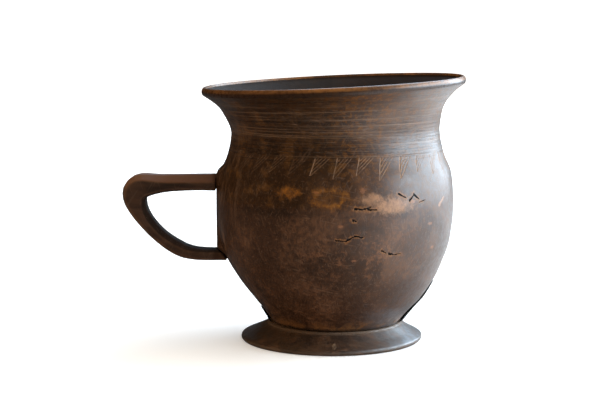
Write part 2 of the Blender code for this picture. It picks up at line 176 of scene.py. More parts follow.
def lathe_tree():
    """Turns an outline about the Z axis, warps the rim and flattens the handle's seat."""
    tree = bpy.data.node_groups.new("turned_on_a_lathe", "GeometryNodeTree")
    sockets = tree.interface.new_socket
    sockets("Outline", in_out="INPUT", socket_type="NodeSocketGeometry")
    sockets("Steps round", in_out="INPUT", socket_type="NodeSocketInt")
    for name in ("Rim rise", "Rim from", "Rim to", "Seat", "Seat width", "Seat bottom",
                 "Seat top", "Seat run-out"):
        sockets(name, in_out="INPUT", socket_type="NodeSocketFloat")
    sockets("Wood", in_out="INPUT", socket_type="NodeSocketMaterial")
    sockets("Turned piece", in_out="OUTPUT", socket_type="NodeSocketGeometry")
    given = put(tree, "NodeGroupInput").outputs

    rows = put(tree, "GeometryNodeAttributeDomainSize",
               {"Geometry": given["Outline"]}).outputs["Point Count"]
    columns = calc(tree, "ADD", given["Steps round"], 1.0)
    grid = put(tree, "GeometryNodeMeshGrid", {"Vertices X": columns, "Vertices Y": rows})
    index = put(tree, "GeometryNodeInputIndex").outputs[0]
    row = calc(tree, "MODULO", index, rows)
    column = calc(tree, "FLOOR", calc(tree, "DIVIDE", calc(tree, "ADD", index, 0.5), rows))
    angle = times(tree, calc(tree, "DIVIDE", column, given["Steps round"]), 2 * math.pi)

    place = put(tree, "GeometryNodeSampleIndex",
                {"Geometry": given["Outline"], "Index": row,
                 "Value": put(tree, "GeometryNodeInputPosition").outputs[0]},
                data_type="FLOAT_VECTOR")
    # the vector sockets of a sampler share one name, so the live one is looked up
    source = put(tree, "ShaderNodeSeparateXYZ",
                 {0: next(s for s in place.outputs if s.enabled)}).outputs
    mark = put(tree, "GeometryNodeInputNamedAttribute", {"Name": "side"},
               data_type="FLOAT")
    side = put(tree, "GeometryNodeSampleIndex",
                {"Geometry": given["Outline"], "Index": row,
                 "Value": next(s for s in mark.outputs if s.enabled)},
                data_type="FLOAT").outputs[0]

    x = calc(tree, "ADD", times(tree, source["X"], calc(tree, "COSINE", angle)), source["Y"])
    y = times(tree, source["X"], calc(tree, "SINE", angle))
    share = ramp(tree, source["Z"], given["Rim from"], given["Rim to"])
    rise = times(tree, x, given["Rim rise"], share)
    z = calc(tree, "ADD", source["Z"], rise)

    run_out = given["Seat run-out"]
    across = calc(tree, "SUBTRACT", calc(tree, "ABSOLUTE", y), given["Seat width"])
    across = ramp(tree, across, 0.0, run_out, 1.0, 0.0)
    above = ramp(tree, calc(tree, "SUBTRACT", z, given["Seat top"]), 0.0, run_out, 1.0, 0.0)
    below = ramp(tree, calc(tree, "SUBTRACT", given["Seat bottom"], z), 0.0, run_out,
                 1.0, 0.0)
    handle_side = calc(tree, "LESS_THAN", x, 0.0)
    weight = times(tree, side, across, above, below, handle_side)
    to_seat = calc(tree, "SUBTRACT", times(tree, given["Seat"], -1.0), x)
    x = calc(tree, "ADD", x, times(tree, to_seat, weight))

    position = put(tree, "ShaderNodeCombineXYZ", {"X": x, "Y": y, "Z": z}).outputs[0]
    height = put(tree, "GeometryNodeStoreNamedAttribute",
                 {"Geometry": grid.outputs["Mesh"], "Name": "turned_height",
                  "Value": source["Z"]}, data_type="FLOAT", domain="POINT")
    marked = put(tree, "GeometryNodeStoreNamedAttribute",
                 {"Geometry": height.outputs[0], "Name": "side", "Value": side},
                 data_type="FLOAT", domain="POINT")
    placed = put(tree, "GeometryNodeSetPosition",
                 {"Geometry": marked.outputs[0], "Position": position})
    closed = put(tree, "GeometryNodeMergeByDistance",
                 {"Geometry": placed.outputs[0], "Distance": 0.00001})
    real = put(tree, "GeometryNodeRealizeInstances", {"Geometry": closed.outputs[0]})
    dressed = put(tree, "GeometryNodeSetMaterial",
                  {"Geometry": real.outputs[0], "Material": given["Wood"]})
    put(tree, "NodeGroupOutput", {"Turned piece": dressed.outputs[0]})
    return tree


def turned(name, mesh, tree, **sizes):
    """A turned piece as a plain mesh object with its faces pointing out."""
    blank = bpy.data.objects.new(name + "_outline", mesh)
    bpy.context.scene.collection.objects.link(blank)
    lathe = blank.modifiers.new("lathe", "NODES")
    lathe.node_group = tree
    for socket in tree.interface.items_tree:
        key = socket.name.lower().replace(" ", "_").replace("-", "_")
        if socket.in_out == "INPUT" and key in sizes:
            lathe[socket.identifier] = sizes[key]
    view = bpy.context.evaluated_depsgraph_get()
    made = bpy.data.meshes.new_from_object(blank.evaluated_get(view), depsgraph=view)
    blank.modifiers.remove(lathe)
    bpy.data.objects.remove(blank)
    made.name = name
    # the lathe leaves an empty first slot, which the faces of a cut would fall into
    made.materials.clear()
    made.materials.append(sizes["wood"])
    shell = bmesh.new()
    shell.from_mesh(made)
    bmesh.ops.dissolve_degenerate(shell, edges=shell.edges, dist=0.000001)
    bmesh.ops.recalc_face_normals(shell, faces=shell.faces)
    shell.to_mesh(made)
    shell.free()
    made.shade_smooth()
    piece = bpy.data.objects.new(name, made)
    bpy.context.scene.collection.objects.link(piece)
    return piece


def points_of(mesh, what="co"):
    """Every vertex's position or normal as an array."""
    values = np.empty(len(mesh.vertices) * 3)
    mesh.vertices.foreach_get(what, values)
    return values.reshape(-1, 3)


def marks_of(mesh, name):
    values = np.empty(len(mesh.vertices))
    mesh.attributes[name].data.foreach_get("value", values)
    return values


def give_marks(mesh, name, values):
    """Stores one number a vertex, for the wood's colour to follow."""
    mark = mesh.attributes.new(name, "FLOAT", "POINT")
    mark.data.foreach_set("value", values.astype(np.float32))


# The wood's surface is made of four shader groups: every wooden piece uses the grain with
# its own values, and the bowl uses stains, knife cuts and the row of teeth as well.
def shader_group(name, inputs, outputs):
    """An empty shader group with the given sockets."""
    tree = bpy.data.node_groups.new(name, "ShaderNodeTree")
    for title, kind, default in inputs:
        socket = tree.interface.new_socket(title, in_out="INPUT", socket_type=kind)
        if default is not None:
            socket.default_value = default
    for title, kind in outputs:
        tree.interface.new_socket(title, in_out="OUTPUT", socket_type=kind)
    return tree, put(tree, "NodeGroupInput").outputs


NUMBER, ARROW = "NodeSocketFloat", "NodeSocketVector"


def noise(tree, at, scale, detail=3.0, roughness=0.55, distortion=0.0):
    return put(tree, "ShaderNodeTexNoise",
               {"Vector": at, "Scale": scale, "Detail": detail, "Roughness": roughness,
                "Distortion": distortion}).outputs["Fac"]


def stretched(tree, at, scale):
    """Coordinates multiplied, so that a pattern on them is drawn out."""
    node = put(tree, "ShaderNodeVectorMath", {0: at, 1: scale}, operation="MULTIPLY")
    return node.outputs[0]


def grain_group():
    """Fibres drawn out along one direction, open pores and fine handling scratches."""
    tree, given = shader_group(
        "old_wood_grain",
        [("At", ARROW, None), ("Fibres", ARROW, (1.0, 1.0, 0.06)), ("Fineness", NUMBER, 900.0)],
        [("Fibre", NUMBER), ("Pores", NUMBER), ("Scratches", NUMBER), ("Height", NUMBER)])
    along = stretched(tree, given["At"], given["Fibres"])
    fine = noise(tree, along, given["Fineness"], 4.0, 0.65)
    broad = noise(tree, along, times(tree, given["Fineness"], 0.22), 2.0, 0.5, 0.4)
    fibre = calc(tree, "ADD", times(tree, fine, 0.6), times(tree, broad, 0.4))
    pores = ramp(tree, noise(tree, along, times(tree, given["Fineness"], 1.6),
                             1.0, 0.4), 0.66, 0.76)
    scratches = None
    for turn, scale in ((0.35, 260.0), (-0.55, 310.0), (1.35, 230.0)):
        turned_at = put(tree, "ShaderNodeVectorRotate", {"Vector": given["At"], "Angle": turn},
                        rotation_type="Y_AXIS").outputs[0]
        drawn = stretched(tree, turned_at, (5.0, 5.0, 0.22))
        line = ramp(tree, noise(tree, drawn, scale, 1.0, 0.3, 0.1), 0.68, 0.71)
        scratches = line if scratches is None else calc(tree, "MAXIMUM", scratches, line)
    height = calc(tree, "SUBTRACT", times(tree, fibre, 0.6), times(tree, pores, 0.5))
    height = calc(tree, "SUBTRACT", height, times(tree, scratches, 0.25))
    put(tree, "NodeGroupOutput", {"Fibre": fibre, "Pores": pores, "Scratches": scratches,
                                  "Height": height})
    return tree


def stain_group():
    """A broken-edged patch: 1 in the middle of an ellipse, fading to 0 outside it."""
    tree, given = shader_group(
        "stain", [("At", ARROW, None), ("Middle", ARROW, (0.0, 0.0, 0.0)),
                  ("Size", ARROW, (0.01, 1.0, 0.01)), ("Ragged", NUMBER, 0.5),
                  ("Mottle", NUMBER, 300.0), ("Core", NUMBER, 0.2)], [("Patch", NUMBER)])
    offset = put(tree, "ShaderNodeVectorMath", {0: given["At"], 1: given["Middle"]},
                 operation="SUBTRACT").outputs[0]
    scaled = put(tree, "ShaderNodeVectorMath", {0: offset, 1: given["Size"]},
                 operation="DIVIDE").outputs[0]
    away = put(tree, "ShaderNodeVectorMath", {0: scaled}, operation="LENGTH").outputs["Value"]
    rough = calc(tree, "SUBTRACT", noise(tree, given["At"], given["Mottle"], 5.0, 0.75), 0.5)
    away = calc(tree, "ADD", away, times(tree, rough, 3.0, given["Ragged"]))
    put(tree, "NodeGroupOutput", {"Patch": ramp(tree, away, given["Core"], 1.0, 1.0, 0.0)})
    return tree


def knife_group():
    """A straight cut from one point to another: 1 on the cut, 0 beside it."""
    tree, given = shader_group(
        "knife_cut", [("At", ARROW, None), ("From", ARROW, (0.0, 0.0, 0.0)),
                      ("To", ARROW, (0.0, 0.0, 0.01)), ("Width", NUMBER, 0.0004)],
        [("Cut", NUMBER)])

    def vector(operation, first, second, output=0):
        return put(tree, "ShaderNodeVectorMath", {0: first, 1: second},
                   operation=operation).outputs[output]

    reach = vector("SUBTRACT", given["At"], given["From"])
    whole = vector("SUBTRACT", given["To"], given["From"])
    share = calc(tree, "DIVIDE", vector("DOT_PRODUCT", reach, whole, "Value"),
                 vector("DOT_PRODUCT", whole, whole, "Value"), clamp=True)
    nearest = put(tree, "ShaderNodeVectorMath", {0: whole, "Scale": share},
                  operation="SCALE").outputs[0]
    away = vector("LENGTH", vector("SUBTRACT", reach, nearest), (0.0, 0.0, 0.0), "Value")
    near_end = calc(tree, "SUBTRACT", 1.0, times(tree, share, 0.5))
    width = times(tree, given["Width"], near_end)
    put(tree, "NodeGroupOutput",
        {"Cut": ramp(tree, away, times(tree, width, 0.4), width, 1.0, 0.0)})
    return tree


def teeth_group():
    """A row of hanging triangles, each hatched along its right edge with a knife."""
    tree, given = shader_group(
        "wolf_teeth", [("Angle", NUMBER, 0.0), ("Height", NUMBER, 0.0),
                       ("Pitch", NUMBER, 0.195), ("Top", NUMBER, 0.0878),
                       ("Depth", NUMBER, 0.0088), ("Wander", NUMBER, 0.5)],
        [("Cut", NUMBER), ("Long cut", NUMBER)])
    place = calc(tree, "DIVIDE", given["Angle"], given["Pitch"])
    tooth = calc(tree, "FLOOR", place)
    across = calc(tree, "SUBTRACT", place, tooth)
    by_tooth = put(tree, "ShaderNodeTexWhiteNoise", {"W": tooth}, noise_dimensions="1D")
    chance = put(tree, "ShaderNodeSeparateColor", {0: by_tooth.outputs["Color"]}).outputs
    depth = times(tree, given["Depth"], calc(tree, "ADD", 0.8, times(tree, chance[0], 0.35)))
    down = calc(tree, "DIVIDE", calc(tree, "SUBTRACT", given["Top"], given["Height"]), depth)
    within = times(tree, ramp(tree, down, -0.04, 0.03), ramp(tree, down, 0.93, 1.0, 1.0, 0.0))

    left = calc(tree, "SUBTRACT", 0.27, times(tree, down, 0.2))
    slant = calc(tree, "ADD", 0.80, times(tree, chance[1], 0.12))
    level = calc(tree, "ADD", across, times(tree, down, slant))
    inside = times(tree, calc(tree, "GREATER_THAN", across, left),
                   calc(tree, "LESS_THAN", level, 1.04))
    drift = times(tree, given["Wander"], 0.10)
    hatch = calc(tree, "ADD", times(tree, level, 6.0), drift)
    hatch = calc(tree, "ABSOLUTE", calc(tree, "SUBTRACT", calc(tree, "FRACT", hatch), 0.5))
    strength = calc(tree, "ADD", 0.45, times(tree, chance[2], 0.55))
    hatching = times(tree, ramp(tree, hatch, 0.08, 0.24, 1.0, 0.0), inside, strength)
    edge = calc(tree, "ABSOLUTE", calc(tree, "SUBTRACT", across, left))
    long_cut = times(tree, ramp(tree, edge, 0.010, 0.042, 1.0, 0.0), within)
    put(tree, "NodeGroupOutput", {"Cut": times(tree, hatching, within), "Long cut": long_cut})
    return tree


grain = grain_group()
stain = stain_group()
knife = knife_group()
teeth = teeth_group()


def group(tree, source, values):
    """One of the groups placed in a material, with its values."""
    return put(tree, "ShaderNodeGroup", values, node_tree=source).outputs


def tint(tree, share, under, over):
    """under covered with over, by share."""
    node = put(tree, "ShaderNodeMix", {"Factor": share}, data_type="RGBA")
    for key, value in ((6, under), (7, over)):
        if isinstance(value, bpy.types.NodeSocket):
            tree.links.new(value, node.inputs[key])
        else:
            node.inputs[key].default_value = (*value, 1.0)
    return node.outputs[2]


def new_material(name):
    """A material with only its Principled shader, and its tree."""
    material = bpy.data.materials.new(name)
    material.use_nodes = True
    return material, material.node_tree, material.node_tree.nodes["Principled BSDF"]


def part_of(tree, share, amount):
    return calc(tree, "MULTIPLY", share, amount, clamp=True)


def painted(tree, colour, *layers):
    """The colour under layers of paint, each as (where it lies, how strong, its colour)."""
    for share, amount, paint in layers:
        colour = tint(tree, part_of(tree, share, amount), colour, paint)
    return colour


def give_relief(tree, shader, height, strength, distance):
    """Lets the surface rise and sink with height, without moving its mesh."""
    bump = put(tree, "ShaderNodeBump",
               {"Strength": strength, "Distance": distance, "Height": height})
    tree.links.new(bump.outputs[0], shader.inputs["Normal"])


def object_place(tree):
    return put(tree, "ShaderNodeTexCoord").outputs["Object"]


def mark_on(tree, name):
    """A number that the mesh carries at each vertex."""
    return put(tree, "ShaderNodeAttribute", attribute_name=name).outputs["Fac"]


def round_the_bowl(tree, at):
    """(distance round the belly from the front, 0, height), and the angle itself."""
    apart = put(tree, "ShaderNodeSeparateXYZ", {0: at}).outputs
    angle = calc(tree, "ARCTAN2", apart["X"], times(tree, apart["Y"], -1.0))
    distance = times(tree, angle, BELLY[0])
    place = put(tree, "ShaderNodeCombineXYZ", {"X": distance, "Z": apart["Z"]}).outputs[0]
    return place, angle, apart["Z"]


def bowl_material():
    """Old dark wood, browner on the neck, worn to ochre and tan where it is held."""
    material, tree, shader = new_material("bowl_wood_old")
    at = object_place(tree)
    place, angle, height = round_the_bowl(tree, at)
    fibres = group(tree, grain, {"At": at, "Fibres": (1.0, 1.0, 0.09), "Fineness": 1300.0})
    turning = noise(tree, stretched(tree, at, (0.03, 0.03, 1.0)), 950.0, 3.0, 0.55)
    cloud = noise(tree, at, 38.0, 5.0, 0.62, 0.4)
    blotch = noise(tree, at, 130.0, 4.0, 0.65, 0.2)
    mottle = noise(tree, at, 480.0, 4.0, 0.72)
    side, turned_height, cut = [mark_on(tree, name) for name in ("side", "turned_height", "cut")]
    outer = ramp(tree, side, 0.5, 1.0)

    def patch(degrees, up, wide, tall, ragged, fine=320.0, core=0.2):
        """A stain so many degrees round from the front; its sizes are in millimetres."""
        middle = (math.radians(degrees) * BELLY[0], 0.0, up / 1000)
        return group(tree, stain, {"At": place, "Middle": middle, "Ragged": ragged,
                                   "Size": (wide / 1000, 1.0, tall / 1000),
                                   "Mottle": fine, "Core": core})["Patch"]

    def turn(start, end, low=0.0, high=1.0):
        return ramp(tree, angle, math.radians(start), math.radians(end), low, high)

    # the belly is a dusty brown, the neck and shoulder a darker and redder one
    colour = tint(tree, ramp(tree, mottle, 0.36, 0.64), (0.052, 0.0220, 0.0095),
                  (0.115, 0.0520, 0.0250))
    upper = ramp(tree, calc(tree, "ADD", height, part_of(tree, cloud, 0.006)), 0.067, 0.072)
    brown = times(tree, turn(14, -14), ramp(tree, height, 0.0650, 0.0680))
    ochre = calc(tree, "MAXIMUM", patch(-4.0, 71.0, 10.5, 6.0, 0.50),
                 part_of(tree, patch(-23.0, 73.0, 8.0, 3.4, 0.9), 0.55))
    ring_heart = patch(-4.2, 71.1, 7.0, 3.7, 0.35, 320.0, 0.6)
    ochre = times(tree, ochre, calc(tree, "SUBTRACT", 1.0, part_of(tree, ring_heart, 0.9)),
                  ramp(tree, blotch, 0.28, 0.50), ramp(tree, mottle, 0.34, 0.60, 0.35, 1.0))
    tan = calc(tree, "MAXIMUM", patch(25.5, 67.4, 15.5, 5.2, 0.55, 420.0),
               patch(16.0, 70.6, 8.0, 3.4, 0.6, 420.0))
    tan = times(tree, tan, ramp(tree, blotch, 0.25, 0.50, 0.45, 1.0),
                ramp(tree, mottle, 0.30, 0.58, 0.5, 1.0))
    tide = patch(-30.0, 64.6, 38.0, 3.2, 0.4, 240.0)
    low = times(tree, patch(14.0, 46.0, 36.0, 20.0, 0.35, 60.0), ramp(tree, blotch, 0.50, 0.64),
                ramp(tree, mottle, 0.42, 0.62))
    colour = painted(
        tree, colour,
        (ramp(tree, fibres["Fibre"], 0.52, 0.66), 0.30, (0.135, 0.068, 0.038)),
        (ramp(tree, fibres["Fibre"], 0.48, 0.36), 0.40, (0.036, 0.016, 0.008)),
        (ramp(tree, cloud, 0.42, 0.60), 0.75, (0.040, 0.0160, 0.0065)),
        (upper, 0.88, (0.044, 0.0155, 0.0030)),
        (times(tree, upper, ramp(tree, mottle, 0.46, 0.64),
               ramp(tree, height, 0.078, 0.090, 0.45, 1.0)), 0.80, (0.230, 0.084, 0.013)),
        (times(tree, upper, ramp(tree, blotch, 0.54, 0.68)), 0.30, (0.170, 0.064, 0.010)),
        # the right side of the neck and shoulder is painted paler and greyer: a painted sheen
        (times(tree, upper, turn(8, 48)), 0.40, (0.110, 0.066, 0.044)),
        (brown, 0.80, (0.036, 0.0140, 0.0025)),
        (times(tree, brown, ramp(tree, blotch, 0.50, 0.66)), 0.45, (0.170, 0.070, 0.010)),
        (tide, 0.60, (0.022, 0.0095, 0.0040)),
        (ochre, 1.00, (0.460, 0.165, 0.010)),
        (tan, 0.80, (0.440, 0.235, 0.125)),
        (low, 0.55, (0.250, 0.105, 0.045)),
        (times(tree, ramp(tree, cloud, 0.50, 0.36), turn(-30, 5)), 0.30, (0.150, 0.078, 0.045)))
    for degrees, up, wide, tall in ((11.7, 74.4, 1.9, 1.5), (1.5, 59.2, 1.6, 0.9),
                                    (53.1, 47.0, 1.8, 1.0), (37.5, 68.6, 2.0, 1.0),
                                    (-10.0, 73.6, 1.8, 0.7), (8.0, 44.0, 1.6, 0.8),
                                    (49.0, 58.0, 2.0, 0.9)):
        chip = patch(degrees, up, wide, tall, 0.8, 1400.0, 0.3)
        colour = painted(tree, colour, (chip, 0.45, (0.380, 0.150, 0.062)))

    # knife work under the neck, and the lathe's fine lines above it
    row = group(tree, teeth, {"Angle": calc(tree, "ADD", angle, 0.052), "Height": height,
                              "Wander": noise(tree, at, 140.0, 2.0, 0.5)})
    worn = times(tree, ramp(tree, noise(tree, at, 90.0, 3.0, 0.6), 0.30, 0.55, 0.35, 1.0),
                 ramp(tree, mottle, 0.30, 0.50, 0.4, 1.0), outer)
    hatching = times(tree, row["Cut"], worn, turn(-30, 26, 0.35, 1.0))
    long_cut = times(tree, row["Long cut"], worn, turn(-24, -13, 0.12, 1.0))
    neck = times(tree, outer, ramp(tree, height, 0.0880, 0.0890))
    level = calc(tree, "ABSOLUTE", calc(tree, "SUBTRACT", turning, 0.50))
    lines = times(tree, ramp(tree, level, 0.004, 0.022, 1.0, 0.0), neck,
                  ramp(tree, height, 0.118, 0.100, 0.2, 1.0), ramp(tree, blotch, 0.35, 0.55))
    level = calc(tree, "ABSOLUTE", calc(tree, "SUBTRACT", turning, 0.41))
    dark_lines = times(tree, ramp(tree, level, 0.004, 0.020, 1.0, 0.0), neck)
    colour = painted(
        tree, colour,
        (dark_lines, 0.60, (0.016, 0.008, 0.004)),
        (times(tree, lines, turn(-50, 30, 0.45, 1.0)), 0.70, (0.270, 0.170, 0.110)),
        (calc(tree, "MAXIMUM", cut, 0.0), 0.60, (0.250, 0.155, 0.095)),
        (calc(tree, "MAXIMUM", times(tree, cut, -1.0), 0.0), 0.70,
         (0.014, 0.007, 0.003)),
        (hatching, 0.80, (0.360, 0.215, 0.130)),
        (long_cut, 0.72, (0.380, 0.235, 0.145)),
        (times(tree, ramp(tree, fibres["Fibre"], 0.50, 0.62), turn(-38, -72)), 0.45,
         (0.220, 0.125, 0.075)),
        (fibres["Scratches"], 0.22, (0.210, 0.125, 0.080)))

    # splits and bark pockets, each a few knife-thin strokes with a worn orange rim
    waver = put(tree, "ShaderNodeTexNoise", {"Vector": at, "Scale": 900.0, "Detail": 2.0})
    shake = put(tree, "ShaderNodeVectorMath",
                {0: waver.outputs["Color"], 1: (0.5, 0.5, 0.5)}, operation="SUBTRACT")
    shake = stretched(tree, shake.outputs[0], (0.0013, 0.0, 0.0013))
    shaken = put(tree, "ShaderNodeVectorMath", {0: place, 1: shake},
                 operation="ADD").outputs[0]
    splits, rims = None, None
    # from and to (degrees round from the front, millimetres up), and the width in millimetres
    for start, end, width in (
            ((8.0, 66.6), (12.3, 66.4), 0.70), ((12.3, 66.4), (15.2, 67.3), 0.60),
            ((14.0, 66.2), (18.2, 66.1), 0.70), ((7.0, 61.7), (8.3, 61.3), 0.80),
            ((-0.9, 53.1), (4.0, 52.8), 0.45), ((4.0, 52.8), (7.6, 54.8), 0.65),
            ((7.6, 54.8), (11.9, 54.2), 0.50), ((21.1, 48.0), (23.5, 46.9), 0.60),
            ((25.0, 46.5), (28.0, 45.9), 0.75), ((28.0, 45.9), (31.4, 46.2), 0.40),
            ((29.2, 72.4), (33.4, 70.4), 0.65), ((35.4, 69.2), (38.1, 71.5), 0.80),
            ((38.1, 71.5), (41.2, 69.2), 0.75), ((41.5, 68.0), (45.5, 69.0), 0.35)):
        (a0, z0), (a1, z1) = start, end
        ends = {"At": shaken,
                "From": (math.radians(a0) * BELLY[0], 0.0, z0 / 1000),
                "To": (math.radians(a1) * BELLY[0], 0.0, z1 / 1000)}
        split = group(tree, knife, {**ends, "Width": width / 1000})["Cut"]
        rim = group(tree, knife, {**ends, "Width": width * 2.8 / 1000})["Cut"]
        splits = split if splits is None else calc(tree, "MAXIMUM", splits, split)
        rims = rim if rims is None else calc(tree, "MAXIMUM", rims, rim)
    splits = times(tree, splits, outer)
    rims = times(tree, rims, outer, ramp(tree, mottle, 0.40, 0.58))
    streak = group(tree, knife, {
        "At": shaken, "From": (math.radians(56.5) * BELLY[0], 0.0, 0.0655),
        "To": (math.radians(61.5) * BELLY[0], 0.0, 0.0685), "Width": 0.0012})["Cut"]

    # the lip is rubbed back to orange wood here and there.  The inside is painted near-black:
    # wood darkened with use, deepened by a painted shade for the dim inside of the mouth.  The
    # belly is darker round the handle's joints and just above the foot, and orange-brown grime
    # lines the seam with the foot
    edge = times(tree, ramp(tree, side, 0.15, 0.45), ramp(tree, side, 0.95, 0.60))
    lip = times(tree, edge, ramp(tree, turned_height, 0.1164, 0.1174),
                ramp(tree, cloud, 0.36, 0.60, 0.35, 1.0),
                ramp(tree, mottle, 0.36, 0.60, 0.55, 1.0))
    within = ramp(tree, side, 0.45, 0.20)
    dark_round_handle_joints = times(tree, calc(tree, "MAXIMUM", patch(-90.0, 72.4, 12.0, 8.5, 0.30),
                            patch(-90.0, 39.0, 12.0, 7.0, 0.30)), outer)
    seam = times(tree, outer, ramp(tree, height, 0.0145, 0.0095))
    colour = painted(
        tree, colour,
        (rims, 0.60, (0.300, 0.120, 0.030)), (splits, 1.0, (0.004, 0.003, 0.002)),
        (times(tree, streak, outer), 0.6, (0.380, 0.190, 0.100)),
        (edge, 0.8, (0.030, 0.012, 0.005)),
        # the near-black inside is partly a painted shade for the dim mouth
        (lip, 0.80, (0.300, 0.120, 0.028)), (within, 0.93, (0.012, 0.0060, 0.0030)),
        # darker round the handle's two joints
        (dark_round_handle_joints, 0.80, (0.014, 0.007, 0.003)),
        (times(tree, seam, ramp(tree, blotch, 0.42, 0.56)), 0.55, (0.250, 0.110, 0.032)),
        # darker just above the foot's ledge
        (ramp(tree, height, 0.0103, 0.0090), 0.7, (0.020, 0.010, 0.005)))
    tree.links.new(colour, shader.inputs["Base Color"])

    gloss = calc(tree, "ADD", 0.38, times(tree, mottle, 0.22))
    cuts = calc(tree, "MAXIMUM", hatching, long_cut)
    for share, more in ((cloud, 0.08), (cuts, 0.35), (splits, 0.35), (tan, 0.10),
                        (fibres["Scratches"], 0.10), (upper, -0.05),
                        (edge, -0.20), (within, 0.22)):
        gloss = calc(tree, "ADD", gloss, times(tree, share, more))
    tree.links.new(calc(tree, "MINIMUM", gloss, 0.9), shader.inputs["Roughness"])

    relief = times(tree, fibres["Height"], 0.30)
    for share, depth in ((hatching, -0.7), (long_cut, -1.0), (splits, -1.6),
                         (mottle, 0.35), (lines, -0.8), (dark_lines, -0.7),
                         (ochre, -0.15)):
        relief = calc(tree, "ADD", relief, times(tree, share, depth))
    give_relief(tree, shader, relief, 0.8, 0.00028)
    bare = calc(tree, "MAXIMUM", cuts, splits)
    waxed = times(tree, ramp(tree, side, 0.2, 0.6),
                  ramp(tree, mottle, 0.36, 0.62, 0.90, 0.60),
                  calc(tree, "SUBTRACT", 1.0, part_of(tree, bare, 1.0)))
    tree.links.new(waxed, shader.inputs["Coat Weight"])
    shader.inputs["Specular IOR Level"].default_value = 0.20
    shader.inputs["Coat Roughness"].default_value = 0.37
    return material


def cut_rings(mesh):
    """Cuts the lathe's rings into the neck: uneven, and fading here and there."""
    rng = np.random.default_rng(11)
    place, normal = points_of(mesh), points_of(mesh, "normal")
    height, outer = marks_of(mesh, "turned_height"), marks_of(mesh, "side")
    angle = np.arctan2(place[:, 0], -place[:, 1])
    depth_map = np.zeros(len(place))
    colour_map = np.zeros(len(place))
    rings = [(0.0864, 0.00016, 0.00016), (0.0878, 0.00022, 0.00018),
             (0.0886, 0.00015, 0.00016)]
    up = 0.0886
    while up < 0.1150:
        up += rng.uniform(0.0007, 0.0017) if up < 0.104 else rng.uniform(0.0014, 0.0032)
        rings.append((up, rng.uniform(0.00005, 0.00013), rng.uniform(0.00014, 0.00020)))
    for up, depth, width in rings:
        phase = rng.uniform(0, 2 * math.pi, 4)
        level = (up + 0.00022 * np.sin(angle + phase[0])
                 + 0.00009 * np.sin(3 * angle + phase[1]))
        fade = 0.62 + 0.42 * np.sin(2 * angle + phase[2]) + 0.25 * np.sin(7 * angle + phase[3])
        groove = np.exp(-((height - level) / width) ** 2) * np.clip(fade, 0.0, 1.0)
        depth_map += groove * depth
        tone = -1.0 if rng.random() < 0.45 else 1.0
        below = np.exp(-((height - level + width * 0.8) / width) ** 2)
        colour_map += tone * np.where(tone > 0, below * np.clip(fade, 0, 1), groove)
    # hand-turned surfaces are never quite true
    waves = (0.00005 * np.sin(3 * angle + 40 * height) + 0.00004 * np.sin(5 * angle - 90 * height)
             + 0.00009)
    place -= normal * ((depth_map + waves) * outer)[:, None]
    mesh.vertices.foreach_set("co", place.ravel())
    give_marks(mesh, "cut", np.clip(colour_map, -1.0, 1.0) * outer)


def cut_slot(piece, low, high):
    """Cuts a square slot, a tenon's size, through the wall."""
    cutter = bmesh.new()
    bmesh.ops.create_cube(cutter, size=1.0)
    bmesh.ops.scale(cutter, vec=high - low, verts=cutter.verts)
    bmesh.ops.translate(cutter, vec=(low + high) / 2, verts=cutter.verts)
    mesh = bpy.data.meshes.new("slot")
    cutter.to_mesh(mesh)
    cutter.free()
    block = bpy.data.objects.new("slot", mesh)
    bpy.context.scene.collection.objects.link(block)
    cut = piece.modifiers.new("slot", "BOOLEAN")
    cut.object = block
    cut.solver = "EXACT"
    view = bpy.context.evaluated_depsgraph_get()
    piece.data = bpy.data.meshes.new_from_object(piece.evaluated_get(view), depsgraph=view)
    piece.modifiers.remove(cut)
    bpy.data.objects.remove(block)


SLOTS = ((0.0724, 0.0029), (0.03905, 0.0020))   # each one's middle and half its height
SLOT_WIDTH = 0.0037                 # half of it, a little more than half a tenon
SLOT_ENDS = (-0.0600, -0.0320)
SEAT_WIDTH = 0.0058                 # half the flat under the handle
SEAT_ENDS = (0.04355, 0.0764)
SEAT_RUN_OUT = 0.0045               # the flat fades into the round over this
BOWL_STEPS = 270

lathe = lathe_tree()
bowl = turned("bowl_turned", outline_mesh("bowl_outline", outline, LEAN, sides), lathe,
              steps_round=BOWL_STEPS, rim_rise=RIM_RISE, rim_from=NECK[1], rim_to=LIP[1],
              seat=SEAT, seat_width=SEAT_WIDTH, seat_bottom=SEAT_ENDS[0],
              seat_top=SEAT_ENDS[1], seat_run_out=SEAT_RUN_OUT, wood=bowl_material())
cut_rings(bowl.data)
for level, half in SLOTS:
    cut_slot(bowl, Vector((SLOT_ENDS[0], -SLOT_WIDTH, level - half)),
             Vector((SLOT_ENDS[1], SLOT_WIDTH, level + half)))
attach(bowl, "root")
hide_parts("bowl")

# ---- Foot ------------------------------------------------------------------------------
# The foot is a ring turned from the same wood and waxed.  The bowl's spigot fills its
# hole, its top leaves a narrow ledge round the belly, and its flare runs off centre.
foot_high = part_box("foot")[1]
FOOT_TOP = foot_high.z
FOOT_WIDE = foot_high.y
FOOT_HOLE = 0.0203
COLLAR = 0.0313                     # radius of the ledge under the belly
FOOT_EDGE = 0.0016                  # how thick the flare is at its rim
FOOT_ROUND = 0.0007                 # how far the edges are worn round
FOOT_STEPS = 216
FOOT_LEAN = ((0.0, -0.0016), (FOOT_EDGE, -0.0014), (FOOT_TOP * 0.5, -0.0008),
             (FOOT_TOP - 0.001, -0.0001), (FOOT_TOP, 0.0))


